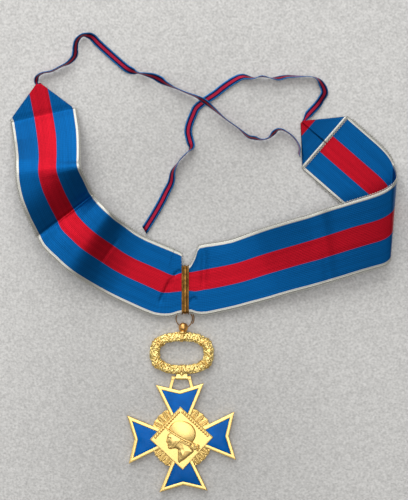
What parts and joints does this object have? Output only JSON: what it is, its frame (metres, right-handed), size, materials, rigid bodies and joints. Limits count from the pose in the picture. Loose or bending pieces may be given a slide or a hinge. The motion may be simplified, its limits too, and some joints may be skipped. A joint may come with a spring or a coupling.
{
  "type": "order neck badge",
  "caption": "Enamelled cross with a plaque of a helmeted head, hinged under an oval wreath that a ring and a tall slide hang from a broad striped neck ribbon with narrow ties.",
  "frame": {"origin": "centre of the back plaque of the cross, on the surface that the badge lies on", "axes": "+X to the right of the badge, +Y from the cross up to the ribbon, +Z out of the surface towards the viewer"},
  "size_m": [0.2249, 0.2686, 0.024],
  "materials": {
    "ribbon": "ribbed silk ribbon in blue, red and blue with white edges",
    "tie": "narrow silk tape in navy, red and navy",
    "old_gilt": "polished, toned brass",
    "gilt": "satin gilt",
    "enamel": "glossy vitreous enamel"
  },
  "bodies": {
    "suspension": {"neck_ribbon": "ribbon", "tie_left": "tie", "tie_right": "tie", "slide": "old_gilt", "jump_ring": "old_gilt", "ball": "gilt", "wreath": "gilt", "knuckle": "gilt"},
    "cross": {"cross_body": "gilt", "enamel_top": "enamel", "enamel_right": "enamel", "enamel_bottom": "enamel", "enamel_left": "enamel", "front_plaque": "gilt", "back_plaque": "gilt"}
  },
  "joints": [
    {"name": "cross_hinge", "type": "hinge", "parent": "suspension", "child": "cross", "pos_m": [0.0003, 0.0357, 0.0019], "axis": [1, 0, 0], "range_deg": [-110, 110]}
  ]
}
